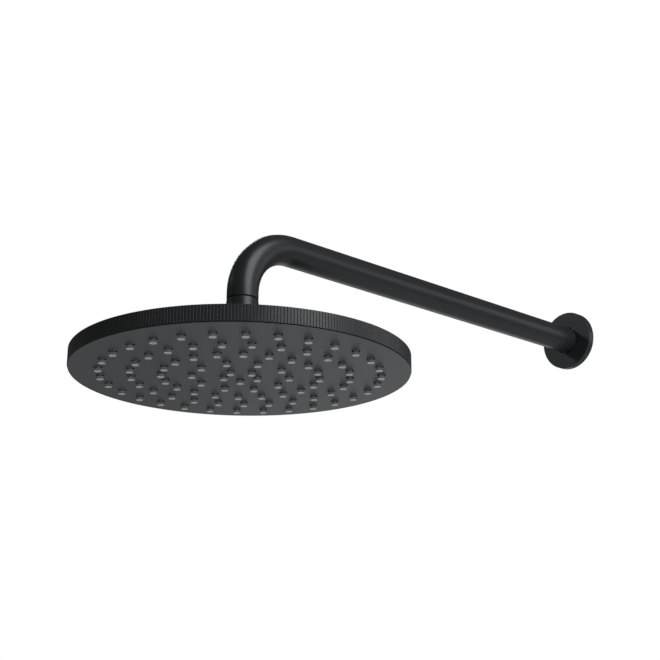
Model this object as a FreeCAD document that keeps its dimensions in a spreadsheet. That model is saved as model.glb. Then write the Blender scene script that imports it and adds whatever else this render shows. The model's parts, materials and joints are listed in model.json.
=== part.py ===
"""Wall-mounted rain shower head: a bent wall arm, a sliding wall flange, a ball joint and a slim round head.

Frame, in millimetres: the origin is the centre of the wall flange's back face, on the arm's axis. +Z is up,
+Y goes into the wall, and the arm reaches out along -Y before it turns down to the head.
"""

import FreeCAD, Part

import math
import os

import Sketcher

DOCUMENT = FreeCAD.newDocument("rain_shower_head")
SHEET = DOCUMENT.addObject("Spreadsheet::Sheet", "Dimensions")
PIECES = []


class Size:
    """A length, angle or number with its value now and its formula in the dimension sheet."""

    def __init__(self, value, formula):
        self.value = value
        self.formula = formula

    def join(self, sign, other, value):
        text = other.formula if isinstance(other, Size) else repr(other)
        return Size(value, f"({self.formula} {sign} {text})")

    def __add__(self, other):
        return self.join("+", other, self.value + plain(other))

    def __sub__(self, other):
        return self.join("-", other, self.value - plain(other))

    def __mul__(self, other):
        return self.join("*", other, self.value * plain(other))

    def __truediv__(self, other):
        return self.join("/", other, self.value / plain(other))

    def __neg__(self):
        return self * -1


def plain(size):
    """The number that a size stands for now."""
    return size.value if isinstance(size, Size) else size


def dimension(alias, value):
    """Adds one driving dimension to the sheet and returns it as a size."""
    dimension.row = getattr(dimension, "row", 0) + 1
    SHEET.set(f"A{dimension.row}", alias.replace("_", " "))
    SHEET.set(f"B{dimension.row}", str(value))
    SHEET.setAlias(f"B{dimension.row}", alias)
    return Size(value, f"Dimensions.{alias}")


# Arm and wall flange
ARM_REACH = dimension("arm_reach", 400)
TUBE_RADIUS = dimension("tube_radius", 12)
TUBE_WALL = dimension("tube_wall", 1.5)
BEND_RADIUS = dimension("bend_radius", 45)
TUBE_WALL_GAP = dimension("tube_wall_gap", 2.5)
LEG_DROP = dimension("leg_drop", 50.1)
THREAD_RADIUS = dimension("thread_radius", 10.48)
THREAD_LENGTH = dimension("thread_length", 15)
WATERWAY_RADIUS = dimension("waterway_radius", 7.5)
FLANGE_RADIUS = dimension("flange_radius", 27.5)
FLANGE_DEPTH = dimension("flange_depth", 6.5)
FLANGE_SKIN = dimension("flange_skin", 1.6)
EDGE_BREAK = dimension("edge_break", 0.5)
SLIDING_GAP = dimension("sliding_gap", 0.4)
RUNNING_GAP = dimension("running_gap", 0.05)
BOSS_WALL = dimension("boss_wall", 3.8)
GROOVE_DEPTH = dimension("groove_depth", 1.8)
GROOVE_START = dimension("groove_start", 1.9)
GROOVE_WIDTH = dimension("groove_width", 2.2)
BOSS_START = dimension("boss_start", 0.8)
THREAD_CHAMFER = dimension("thread_chamfer", 1)
INLET_PLUG = dimension("inlet_plug", 12)
OUTLET_PLUG = dimension("outlet_plug", 5)
OUTLET_THREAD = dimension("outlet_thread", 9)

# Collar nut and ball joint
SEAM_GAP = dimension("seam_gap", 0.8)
NUT_LENGTH = dimension("nut_length", 17.1)
NUT_FOOT_RADIUS = dimension("nut_foot_radius", 13.5)
NUT_FOOT_HEIGHT = dimension("nut_foot_height", 3)
NUT_FOOT_CHAMFER = dimension("nut_foot_chamfer", 0.6)
NUT_SWELL = dimension("nut_swell", 0.5)
NUT_SWELL_DROP = dimension("nut_swell_drop", 6.5)
NUT_TOP_CHAMFER = dimension("nut_top_chamfer", 0.25)
NUT_LIP = dimension("nut_lip", 3.8)
WASHER_THICKNESS = dimension("washer_thickness", 2)
WASHER_RADIUS = dimension("washer_radius", 10.2)
WASHER_HOLE = dimension("washer_hole", 6)
SCREEN_RADIUS = dimension("screen_radius", 7.3)
SCREEN_THICKNESS = dimension("screen_thickness", 0.4)
SCREEN_LIFT = dimension("screen_lift", 0.8)
REGULATOR_THICKNESS = dimension("regulator_thickness", 4.5)
STUD_FLANGE = dimension("stud_flange", 3.1)
BALL_FLAT = dimension("ball_flat", 1)
BALL_DROP = dimension("ball_drop", 84)
BALL_RADIUS = dimension("ball_radius", 10)
NECK_RADIUS = dimension("neck_radius", 5)
STUD_BORE = dimension("stud_bore", 3.2)
SEAT_THICKNESS = dimension("seat_thickness", 1.45)
SEAT_START = dimension("seat_start", 1)
SEAT_HEIGHT = dimension("seat_height", 4.2)
CAP_MOUTH_RADIUS = dimension("cap_mouth_radius", 8.6)
CAP_THREAD_RADIUS = dimension("cap_thread_radius", 12.6)
CAP_RADIUS = dimension("cap_radius", 15)
CAP_DEPTH = dimension("cap_depth", 6)
CAP_HEIGHT = dimension("cap_height", 10)
CAP_TAPER_START = dimension("cap_taper_start", 2.5)
CAP_TOP_RADIUS = dimension("cap_top_radius", 12.6)
CAP_CHAMFER = dimension("cap_chamfer", 0.5)
CAP_TOP_CHAMFER = dimension("cap_top_chamfer", 0.4)
SEAL_RADIUS = dimension("seal_radius", 1.15)
SEAL_GROOVE_TOP = dimension("seal_groove_top", 5)
SEAL_GROOVE_FOOT = dimension("seal_groove_foot", 9.3)
SEAL_GROOVE_RADIUS = dimension("seal_groove_radius", 9.3)
SOCKET_RIM_DEPTH = dimension("socket_rim_depth", 2)
SOCKET_CUP_GAP = dimension("socket_cup_gap", 0.35)
SOCKET_CUP_RADIUS = dimension("socket_cup_radius", 6.6)
SOCKET_CUP_FOOT = dimension("socket_cup_foot", 10.6)
SOCKET_STEP_GAP = dimension("socket_step_gap", 0.3)
FLAT_HALF_WIDTH = dimension("flat_half_width", 13)
FLAT_START = dimension("flat_start", 1)
FLAT_HEIGHT = dimension("flat_height", 3.6)

# Head, with heights counted up from the nozzles' tips
HEAD_RADIUS = dimension("head_radius", 125)
HEAD_HEIGHT = dimension("head_height", 12.4)
HEAD_FACE_DROP = dimension("head_face_drop", 108.7)
NOZZLE_REACH = dimension("nozzle_reach", 3.2)
FACE_THICKNESS = dimension("face_thickness", 1.6)
MAT_THICKNESS = dimension("mat_thickness", 1.2)
MAT_EDGE_GAP = dimension("mat_edge_gap", 5)
SPRAY_PLATE_THICKNESS = dimension("spray_plate_thickness", 1.8)
SHELL_THICKNESS = dimension("shell_thickness", 1.5)
FACE_LIP = dimension("face_lip", 0.35)
SHADOW_GAP = dimension("shadow_gap", 0.5)
TRIM_STEP = dimension("trim_step", 0.4)
PAN_WALL_OUTER = dimension("pan_wall_outer", 122.6)
PAN_WALL_THICKNESS = dimension("pan_wall_thickness", 1.2)
PAN_WALL_CLEARANCE = dimension("pan_wall_clearance", 0.5)
SKIRT_OUTER = dimension("skirt_outer", 120.9)
SKIRT_THICKNESS = dimension("skirt_thickness", 2.3)
GASKET_THICKNESS = dimension("gasket_thickness", 1.2)
SCREW_CIRCLE = dimension("screw_circle", 112)
SCREW_COUNT = dimension("screw_count", 8)
SCREW_RADIUS = dimension("screw_radius", 1.5)
SCREW_HEAD_RADIUS = dimension("screw_head_radius", 2.8)
SCREW_SINK = dimension("screw_sink", 0.7)
SCREW_HEAD_HEIGHT = dimension("screw_head_height", 0.6)
SCREW_DRIVE_RADIUS = dimension("screw_drive_radius", 1.2)
SCREW_DRIVE_FLOOR = dimension("screw_drive_floor", 0.2)
POST_RADIUS = dimension("post_radius", 3.5)
SPRAY_HOLE_RADIUS = dimension("spray_hole_radius", 1.5)
THREAD_FLOOR = dimension("thread_floor", 0.4)
FIT_GAP = dimension("fit_gap", 0.2)
SHELL_EDGE_BREAK = dimension("shell_edge_break", 0.3)
FACE_EDGE_BREAK = dimension("face_edge_break", 0.15)
SPIGOT_RADIUS = dimension("spigot_radius", 10)
SPIGOT_BORE = dimension("spigot_bore", 5)
SPIGOT_FOOT = dimension("spigot_foot", 10)
SOCKET_GASKET_THICKNESS = dimension("socket_gasket_thickness", 0.8)
LOCK_NUT_THICKNESS = dimension("lock_nut_thickness", 2.7)
LOCK_NUT_CORNER = dimension("lock_nut_corner", 14.4)
LOCK_WASHER_RADIUS = dimension("lock_washer_radius", 15.5)
LOCK_WASHER_THICKNESS = dimension("lock_washer_thickness", 0.8)
SPREADER_RADIUS = dimension("spreader_radius", 16)
SPREADER_LIFT = dimension("spreader_lift", 0.6)
SPREADER_THICKNESS = dimension("spreader_thickness", 0.8)

# Nozzles
RING_SPACING = dimension("ring_spacing", 22.5)
FIRST_RING_RADIUS = dimension("first_ring_radius", 13)
NOZZLE_RADIUS = dimension("nozzle_radius", 2.65)
NOZZLE_NECK_RADIUS = dimension("nozzle_neck_radius", 2)
NOZZLE_HOLE_RADIUS = dimension("nozzle_hole_radius", 0.6)
NOZZLE_HOLE_LENGTH = dimension("nozzle_hole_length", 1.2)
NOZZLE_BORE_RADIUS = dimension("nozzle_bore_radius", 1.4)
NOZZLE_BORE_START = dimension("nozzle_bore_start", 2.2)
NOZZLE_BEAD_DEPTH = dimension("nozzle_bead_depth", 2.3)
NOZZLE_TIP_BREAK = dimension("nozzle_tip_break", 0.35)
NOZZLE_TOP_BREAK = dimension("nozzle_top_break", 0.2)
NOZZLE_WAIST_HEIGHT = dimension("nozzle_waist_height", 1.15)
NOZZLE_WAIST_DEPTH = dimension("nozzle_waist_depth", 0.12)
NOZZLE_WAIST_SPREAD = dimension("nozzle_waist_spread", 0.25)
PLATE_HOLE_RADIUS = dimension("plate_hole_radius", 3.1)
NOZZLE_COUNTS = [
    dimension(f"nozzles_in_ring_{ring}", count)
    for ring, count in zip("abcde", (5, 10, 20, 25, 30))
]
NOZZLE_TURNS = [
    dimension(f"turn_of_ring_{ring}", turn)
    for ring, turn in zip("abcde", (0, 18, 0, 10.8, 0))
]

# Rim
RIB_COUNT = dimension("rib_count", 352)
RIB_DEPTH = dimension("rib_depth", 0.4)
RIB_TOP_SHARE = dimension("rib_top_share", 0.76)
RIB_FADE = dimension("rib_fade", 0.2)

# Heights inside the head, up from the nozzles' tips
FACE_Z = NOZZLE_REACH
MAT_Z = FACE_Z + FACE_THICKNESS
SPRAY_Z = MAT_Z + MAT_THICKNESS
CHAMBER_Z = SPRAY_Z + SPRAY_PLATE_THICKNESS
TOP_Z = FACE_Z + HEAD_HEIGHT
SHELL_Z = TOP_Z - SHELL_THICKNESS
BALL_Z = HEAD_FACE_DROP + NOZZLE_REACH - BALL_DROP
SOCKET_Z = TOP_Z + SOCKET_GASKET_THICKNESS

HEAD_BASE = (0, -ARM_REACH, -(HEAD_FACE_DROP + NOZZLE_REACH))
BALL_BASE = (0, -ARM_REACH, -BALL_DROP)
OUTLET_FOOT_DROP = LEG_DROP + OUTLET_THREAD
NUT_FOOT_DROP = LEG_DROP + SEAM_GAP + NUT_LENGTH
OUT_OF_WALL = FreeCAD.Rotation(FreeCAD.Vector(1, 0, 0), 90)


def bind(thing, path, size):
    """Ties one property to its formula, or to a plain number's own text."""
    thing.setExpression(path, size.formula if isinstance(size, Size) else repr(size))


def place(thing, base, rotation=FreeCAD.Rotation()):
    """Puts a piece's own origin at base."""
    thing.Placement = FreeCAD.Placement(FreeCAD.Vector(*map(plain, base)), rotation)
    for axis, size in zip("xyz", base):
        if isinstance(size, Size):
            bind(thing, f"Placement.Base.{axis}", size)


def piece(thing, label):
    """Lists a finished piece under the name of its file."""
    thing.Label = label
    PIECES.append(thing)
    return thing


def new_body(label):
    return piece(DOCUMENT.addObject("PartDesign::Body", f"body_{label}"), label)


def origin_part(body, role):
    """One of a body's own origin planes or axes."""
    return next(part for part in body.Origin.OriginFeatures if part.Role == role)


def new_sketch(body, name, role):
    sketch = body.newObject("Sketcher::SketchObject", name)
    sketch.AttachmentSupport = [(origin_part(body, role), "")]
    sketch.MapMode = "FlatFace"
    return sketch


def fix_point(sketch, geometry, end, across, up):
    """Holds one end of a line at its distance across and up from the sketch's origin."""
    for kind, size, axis in (("DistanceX", across, -2), ("DistanceY", up, -1)):
        if plain(size) == 0:
            sketch.addConstraint(Sketcher.Constraint("PointOnObject", geometry, end, axis))
            continue
        ends = (-1, 1, geometry, end)
        if plain(size) < 0:
            ends = (geometry, end, -1, 1)
            size = -size
        index = sketch.addConstraint(Sketcher.Constraint(kind, *ends, plain(size)))
        if isinstance(size, Size):
            bind(sketch, f"Constraints[{index}]", size)


def draw_outline(sketch, corners):
    """Draws a closed outline of straight lines through the corners."""
    points = [FreeCAD.Vector(plain(across), plain(up), 0) for across, up in corners]
    for index, start in enumerate(points):
        sketch.addGeometry(Part.LineSegment(start, points[(index + 1) % len(points)]), False)
    for index, (across, up) in enumerate(corners):
        before = (index - 1) % len(corners)
        sketch.addConstraint(Sketcher.Constraint("Coincident", before, 2, index, 1))
        fix_point(sketch, index, 1, across, up)


def turn_outline(body, name, corners):
    """Turns an outline of (radius, height) corners about the body's own Z axis."""
    sketch = new_sketch(body, f"{name}_outline", "XZ_Plane")
    draw_outline(sketch, corners)
    turned = body.newObject("PartDesign::Revolution", f"{name}_turned")
    turned.Profile = sketch
    turned.ReferenceAxis = (sketch, ["V_Axis"])
    turned.Angle = 360
    return turned


def turned_piece(label, corners, base, rotation=FreeCAD.Rotation()):
    """A piece that is one outline turned about its own Z axis."""
    body = new_body(label)
    turn_outline(body, label, corners)
    place(body, base, rotation)
    return body


def ring_corners(inner, outer, low, high):
    """The outline of a plain washer."""
    return [(inner, low), (outer, low), (outer, high), (inner, high)]


def draw_circle(sketch, distance, turn, radius):
    """Draws a circle at a distance and a turn from the sketch's origin."""
    angle = math.radians(plain(turn))
    centre = FreeCAD.Vector(plain(distance) * math.cos(angle), plain(distance) * math.sin(angle), 0)
    circle = sketch.addGeometry(Part.Circle(centre, FreeCAD.Vector(0, 0, 1), plain(radius)), False)
    index = sketch.addConstraint(Sketcher.Constraint("Radius", circle, plain(radius)))
    bind(sketch, f"Constraints[{index}]", radius)
    if plain(distance) == 0:
        sketch.addConstraint(Sketcher.Constraint("Coincident", circle, 3, -1, 1))
        return
    arm = sketch.addGeometry(Part.LineSegment(FreeCAD.Vector(0, 0, 0), centre), True)
    sketch.addConstraint(Sketcher.Constraint("Coincident", arm, 1, -1, 1))
    sketch.addConstraint(Sketcher.Constraint("Coincident", arm, 2, circle, 3))
    index = sketch.addConstraint(Sketcher.Constraint("Distance", arm, plain(distance)))
    bind(sketch, f"Constraints[{index}]", distance)
    if plain(turn) == 0:
        sketch.addConstraint(Sketcher.Constraint("Horizontal", arm))
        return
    index = sketch.addConstraint(Sketcher.Constraint("Angle", arm, angle))
    formula = turn.formula if isinstance(turn, Size) else repr(turn)
    sketch.setExpression(f"Constraints[{index}]", f"{formula} * 1 deg")


def repeat_round(body, features, name, count):
    """Repeats features evenly round the body's Z axis."""
    pattern = body.newObject("PartDesign::PolarPattern", f"{name}_repeated")
    pattern.Originals = features
    pattern.Axis = (origin_part(body, "Z_Axis"), [""])
    pattern.Angle = 360
    pattern.Occurrences = int(plain(count))
    bind(pattern, "Occurrences", count)
    body.Tip = pattern


def drill_ring(body, name, distance, turn, radius, count, low=0.0):
    """Drills a ring of equal holes from a height up through everything above it."""
    sketch = new_sketch(body, f"{name}_sketch", "XY_Plane")
    draw_circle(sketch, distance, turn, radius)
    sketch.AttachmentOffset = FreeCAD.Placement(FreeCAD.Vector(0, 0, plain(low)), FreeCAD.Rotation())
    if isinstance(low, Size):
        bind(sketch, "AttachmentOffset.Base.z", low)
    pocket = body.newObject("PartDesign::Pocket", name)
    pocket.Profile = sketch
    pocket.Reversed = True
    pocket.Type = "ThroughAll"
    repeat_round(body, [pocket], name, count)


def raise_ring(body, name, distance, turn, radius, count, low, tall):
    """Raises a ring of equal round posts from a height."""
    sketch = new_sketch(body, f"{name}_sketch", "XY_Plane")
    draw_circle(sketch, distance, turn, radius)
    bind(sketch, "AttachmentOffset.Base.z", low)
    pad = body.newObject("PartDesign::Pad", name)
    pad.Profile = sketch
    bind(pad, "Length", tall)
    repeat_round(body, [pad], name, count)


def nozzle_rings():
    """The name, radius, turn and count of each ring of nozzles, from the inside out."""
    for index, (turn, count) in enumerate(zip(NOZZLE_TURNS, NOZZLE_COUNTS)):
        yield f"ring_{'abcde'[index]}", FIRST_RING_RADIUS + RING_SPACING * index, turn, count


def arm_tube():
    """The bent tube: straight out of the wall, a quarter bend, and a short leg down."""
    body = new_body("arm_tube")
    start = -TUBE_WALL_GAP
    corner = -(ARM_REACH - BEND_RADIUS)
    section = new_sketch(body, "tube_section", "XZ_Plane")
    draw_circle(section, 0, 0, TUBE_RADIUS)
    draw_circle(section, 0, 0, TUBE_RADIUS - TUBE_WALL)
    bind(section, "AttachmentOffset.Base.z", TUBE_WALL_GAP)
    path = new_sketch(body, "tube_path", "YZ_Plane")
    leg_top = FreeCAD.Vector(-plain(ARM_REACH), -plain(BEND_RADIUS), 0)
    bend_centre = FreeCAD.Vector(plain(corner), -plain(BEND_RADIUS), 0)
    arm_ends = [FreeCAD.Vector(plain(along), 0, 0) for along in (start, corner)]
    path.addGeometry(Part.LineSegment(*arm_ends))
    quarter = Part.Circle(bend_centre, FreeCAD.Vector(0, 0, 1), plain(BEND_RADIUS))
    path.addGeometry(Part.ArcOfCircle(quarter, math.pi / 2, math.pi))
    path.addGeometry(Part.LineSegment(leg_top, FreeCAD.Vector(-plain(ARM_REACH), -plain(LEG_DROP), 0)))
    path.addConstraint(Sketcher.Constraint("Tangent", 0, 2, 1, 1))
    path.addConstraint(Sketcher.Constraint("Tangent", 1, 2, 2, 1))
    path.addConstraint(Sketcher.Constraint("Horizontal", 0))
    path.addConstraint(Sketcher.Constraint("Vertical", 2))
    fix_point(path, 0, 1, start, 0)
    radius = path.addConstraint(Sketcher.Constraint("Radius", 1, plain(BEND_RADIUS)))
    bind(path, f"Constraints[{radius}]", BEND_RADIUS)
    fix_point(path, 2, 2, -ARM_REACH, -LEG_DROP)
    swept = body.newObject("PartDesign::AdditivePipe", "tube_swept")
    swept.Profile = section
    swept.Spine = (path, ["Edge1", "Edge2", "Edge3"])


def wall_flange():
    """A hollow cover against the wall, with a boss that holds an O-ring round the tube."""
    hole = TUBE_RADIUS + SLIDING_GAP
    boss = hole + BOSS_WALL
    groove = hole + GROOVE_DEPTH
    groove_end = GROOVE_START + GROOVE_WIDTH
    rim_inner = FLANGE_RADIUS - FLANGE_SKIN
    face_back = FLANGE_DEPTH - FLANGE_SKIN
    corners = [
        (hole, FLANGE_DEPTH),
        (FLANGE_RADIUS - EDGE_BREAK, FLANGE_DEPTH),
        (FLANGE_RADIUS, FLANGE_DEPTH - EDGE_BREAK),
        (FLANGE_RADIUS, 0),
        (rim_inner, 0),
        (rim_inner, face_back),
        (boss, face_back),
        (boss, BOSS_START),
        (hole, BOSS_START),
        (hole, GROOVE_START),
        (groove, GROOVE_START),
        (groove, groove_end),
        (hole, groove_end),
    ]
    turned_piece("wall_flange", corners, (0, 0, 0), OUT_OF_WALL)


def torus(name, ring_radius, wire_radius, base, rotation=FreeCAD.Rotation()):
    """An O-ring."""
    ring = piece(DOCUMENT.addObject("Part::Torus", f"torus_{name}"), name)
    bind(ring, "Radius1", ring_radius)
    bind(ring, "Radius2", wire_radius)
    place(ring, base, rotation)


def flange_o_ring():
    """The O-ring that grips the tube inside the flange's boss."""
    wire = (GROOVE_WIDTH - RUNNING_GAP * 2) / 2
    middle = GROOVE_START + GROOVE_WIDTH / 2
    torus("flange_o_ring", TUBE_RADIUS + RUNNING_GAP + wire, wire, (0, -middle, 0), OUT_OF_WALL)


def inlet_nipple():
    """Half-inch male thread into the wall, a shoulder, and a plug brazed into the tube."""
    wall = THREAD_LENGTH + THREAD_CHAMFER
    shoulder = wall + TUBE_WALL_GAP
    plug = TUBE_RADIUS - TUBE_WALL
    plug_end = shoulder + INLET_PLUG
    corners = [
        (WATERWAY_RADIUS, 0),
        (THREAD_RADIUS - THREAD_CHAMFER, 0),
        (THREAD_RADIUS, THREAD_CHAMFER),
        (THREAD_RADIUS, wall),
        (TUBE_RADIUS, wall),
        (TUBE_RADIUS, shoulder),
        (plug, shoulder),
        (plug, plug_end),
        (WATERWAY_RADIUS, plug_end),
    ]
    turned_piece("inlet_nipple", corners, (0, wall, 0), OUT_OF_WALL)


def outlet_nipple():
    """The plug brazed into the tube's lower end, with the male thread that the collar nut takes."""
    plug = TUBE_RADIUS - TUBE_WALL
    plug_end = OUTLET_THREAD + OUTLET_PLUG
    corners = [
        (WATERWAY_RADIUS, 0),
        (THREAD_RADIUS - THREAD_CHAMFER, 0),
        (THREAD_RADIUS, THREAD_CHAMFER),
        (THREAD_RADIUS, OUTLET_THREAD),
        (plug, OUTLET_THREAD),
        (plug, plug_end),
        (WATERWAY_RADIUS, plug_end),
    ]
    turned_piece("outlet_nipple", corners, (0, -ARM_REACH, -OUTLET_FOOT_DROP))


def collar_nut():
    """The nut below the seam: as wide as the tube at its top, flaring to its foot, with a lip inside."""
    thread = THREAD_RADIUS + RUNNING_GAP
    neck_hole = NECK_RADIUS + SLIDING_GAP
    corners = [
        (neck_hole, 0),
        (NUT_FOOT_RADIUS - NUT_FOOT_CHAMFER, 0),
        (NUT_FOOT_RADIUS, NUT_FOOT_CHAMFER),
        (NUT_FOOT_RADIUS, NUT_FOOT_HEIGHT),
        (TUBE_RADIUS + NUT_SWELL, NUT_LENGTH - NUT_SWELL_DROP),
        (TUBE_RADIUS, NUT_LENGTH - NUT_TOP_CHAMFER),
        (TUBE_RADIUS - NUT_TOP_CHAMFER, NUT_LENGTH),
        (thread, NUT_LENGTH),
        (thread, NUT_LIP),
        (neck_hole, NUT_LIP),
    ]
    turned_piece("collar_nut", corners, (0, -ARM_REACH, -NUT_FOOT_DROP))


def filter_washer():
    """The rubber washer between the nipple and the ball stud, grooved to hold the filter screen."""
    groove = SCREEN_RADIUS + 0.1
    groove_top = SCREEN_LIFT + SCREEN_THICKNESS
    corners = [
        (WASHER_HOLE, 0),
        (WASHER_RADIUS, 0),
        (WASHER_RADIUS, WASHER_THICKNESS),
        (WASHER_HOLE, WASHER_THICKNESS),
        (WASHER_HOLE, groove_top),
        (groove, groove_top),
        (groove, SCREEN_LIFT),
        (WASHER_HOLE, SCREEN_LIFT),
    ]
    turned_piece("filter_washer", corners, (0, -ARM_REACH, -OUTLET_FOOT_DROP - WASHER_THICKNESS))


def perforated_disc(label, radius, thickness, base, rings):
    """A disc with a pinhole in its centre and rings of (circle radius, hole radius, count) round it."""
    pinhole = 0.4
    body = turned_piece(label, ring_corners(pinhole, radius, 0, thickness), base)
    for index, (distance, hole, count) in enumerate(rings):
        drill_ring(body, f"{label}_holes_{index}", distance, 0, hole, count)


def filter_screen():
    """The disc of fine holes that the washer holds."""
    base = (0, -ARM_REACH, SCREEN_LIFT - OUTLET_FOOT_DROP - WASHER_THICKNESS)
    rings = [(1.6, 0.4, 6), (3.2, 0.4, 12), (4.8, 0.4, 18)]
    perforated_disc("filter_screen", SCREEN_RADIUS, SCREEN_THICKNESS, base, rings)


def flow_regulator():
    """The plastic flow limiter in the lower end of the outlet nipple."""
    base = (0, -ARM_REACH, FIT_GAP - OUTLET_FOOT_DROP)
    rings = [(2.6, 0.7, 6), (5.2, 0.9, 8)]
    perforated_disc("flow_regulator", WATERWAY_RADIUS - FIT_GAP / 2, REGULATOR_THICKNESS, base, rings)


def primitive(kind, name, sizes, base):
    """One Part primitive with its sizes bound."""
    solid = DOCUMENT.addObject(kind, name)
    for path, size in sizes.items():
        bind(solid, path, size)
    place(solid, base)
    return solid


def cylinder(name, radius, low, tall, centre=BALL_BASE):
    """A cylinder on the head's axis, from a height above centre."""
    base = (centre[0], centre[1], centre[2] + low)
    return primitive("Part::Cylinder", name, {"Radius": radius, "Height": tall}, base)


def sphere(name, radius):
    return primitive("Part::Sphere", name, {"Radius": radius}, BALL_BASE)


def combine(kind, name, shapes):
    """A fusion or common part of several shapes, or the first with the rest cut away."""
    result = DOCUMENT.addObject(kind, name)
    if kind == "Part::Cut":
        result.Base, result.Tool = shapes
    else:
        result.Shapes = shapes
    return result


def ball_stud():
    """The fixed half of the ball joint: a flange inside the nut, a neck, and a ball with a waterway."""
    flange_low = BALL_DROP + NUT_LIP - NUT_FOOT_DROP
    ball_foot = BALL_FLAT - BALL_RADIUS
    bore_length = flange_low + STUD_FLANGE + BALL_RADIUS * 3
    solids = combine(
        "Part::MultiFuse",
        "stud_solid",
        [
            sphere("stud_ball", BALL_RADIUS),
            cylinder("stud_neck", NECK_RADIUS, 0, flange_low),
            cylinder("stud_flange", WASHER_RADIUS, flange_low, STUD_FLANGE),
        ],
    )
    cuts = combine(
        "Part::MultiFuse",
        "stud_cuts",
        [
            cylinder("stud_waterway", STUD_BORE, BALL_RADIUS * -2, bore_length),
            cylinder("stud_foot_cut", BALL_RADIUS, ball_foot - BALL_RADIUS, BALL_RADIUS),
        ],
    )
    piece(combine("Part::Cut", "stud_cut", [solids, cuts]), "ball_stud")


def ball_seat():
    """The slippery seat ring above the ball, round inside and outside so that it can tilt in its cap."""
    inner = BALL_RADIUS + RUNNING_GAP
    spheres = [sphere("seat_outside", inner + SEAT_THICKNESS), sphere("seat_inside", inner)]
    shell = combine("Part::Cut", "seat_shell", spheres)
    band = cylinder("seat_band", BALL_RADIUS * 2, SEAT_START, SEAT_HEIGHT)
    piece(combine("Part::MultiCommon", "seat_ring", [shell, band]), "ball_seat")


def ball_seal():
    """The O-ring below the ball, at 45 degrees from its axis."""
    out = (BALL_RADIUS + SEAL_RADIUS + RUNNING_GAP) * math.sqrt(0.5)
    torus("ball_seal", out, SEAL_RADIUS, (0, -ARM_REACH, -BALL_DROP - out))


def joint_cap():
    """The cap screwed over the ball seat, which holds the head up."""
    body = DOCUMENT.addObject("PartDesign::Body", "cap_blank")
    corners = [
        (CAP_THREAD_RADIUS, -CAP_DEPTH),
        (CAP_RADIUS - CAP_CHAMFER, -CAP_DEPTH),
        (CAP_RADIUS, CAP_CHAMFER - CAP_DEPTH),
        (CAP_RADIUS, CAP_TAPER_START),
        (CAP_TOP_RADIUS, CAP_HEIGHT - CAP_TOP_CHAMFER),
        (CAP_TOP_RADIUS - CAP_TOP_CHAMFER, CAP_HEIGHT),
        (CAP_MOUTH_RADIUS, CAP_HEIGHT),
        (CAP_MOUTH_RADIUS, SEAT_START),
        (CAP_THREAD_RADIUS, SEAT_START),
    ]
    turn_outline(body, "cap", corners)
    place(body, BALL_BASE)
    recess = sphere("cap_recess", BALL_RADIUS + SEAT_THICKNESS + RUNNING_GAP * 3)
    piece(combine("Part::Cut", "cap_cut", [body, recess]), "joint_cap")


def joint_socket():
    """The socket under the ball: a threaded rim, a seal groove, and a spigot through the back shell."""
    outer = CAP_RADIUS - CAP_CHAMFER
    rim = BALL_Z - SOCKET_RIM_DEPTH
    step = BALL_Z - CAP_DEPTH - SOCKET_STEP_GAP
    cup = BALL_RADIUS + SOCKET_CUP_GAP
    groove_top = BALL_Z - SEAL_GROOVE_TOP
    groove_foot = BALL_Z - SEAL_GROOVE_FOOT
    cup_foot = BALL_Z - SOCKET_CUP_FOOT
    corners = [
        (SPIGOT_BORE, SPIGOT_FOOT),
        (SPIGOT_RADIUS, SPIGOT_FOOT),
        (SPIGOT_RADIUS, SOCKET_Z),
        (outer, SOCKET_Z),
        (outer, step),
        (CAP_THREAD_RADIUS, step),
        (CAP_THREAD_RADIUS, rim),
        (cup, rim),
        (cup, groove_top),
        (SEAL_GROOVE_RADIUS, groove_top),
        (SEAL_GROOVE_RADIUS, groove_foot),
        (SOCKET_CUP_RADIUS, groove_foot),
        (SOCKET_CUP_RADIUS, cup_foot),
        (SPIGOT_BORE, cup_foot),
    ]
    body = turned_piece("joint_socket", corners, HEAD_BASE)
    for side in (1, -1):
        cut_flat(body, f"socket_flat_{side + 2}", side)


def cut_flat(body, name, side):
    """Cuts one spanner flat, on the +Y or the -Y side of the socket."""
    sketch = new_sketch(body, f"{name}_outline", "XY_Plane")
    reach = CAP_RADIUS + 2
    edges = [(FLAT_HALF_WIDTH * side, -reach), (FLAT_HALF_WIDTH * side, reach), (reach * side, reach)]
    edges.append((reach * side, -reach))
    draw_outline(sketch, [(along, across) for across, along in edges])
    bind(sketch, "AttachmentOffset.Base.z", SOCKET_Z + FLAT_START)
    pocket = body.newObject("PartDesign::Pocket", name)
    pocket.Profile = sketch
    pocket.Reversed = True
    bind(pocket, "Length", FLAT_HEIGHT)


def socket_gasket():
    """The flat ring between the socket and the back shell."""
    corners = ring_corners(SPIGOT_RADIUS + FIT_GAP, CAP_RADIUS - CAP_CHAMFER - FIT_GAP, TOP_Z, SOCKET_Z)
    turned_piece("socket_gasket", corners, HEAD_BASE)


def lock_nut_washer():
    """The steel washer under the lock nut, inside the head."""
    low = SHELL_Z - LOCK_WASHER_THICKNESS
    corners = ring_corners(SPIGOT_RADIUS + FIT_GAP, LOCK_WASHER_RADIUS, low, SHELL_Z)
    turned_piece("lock_nut_washer", corners, HEAD_BASE)


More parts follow.
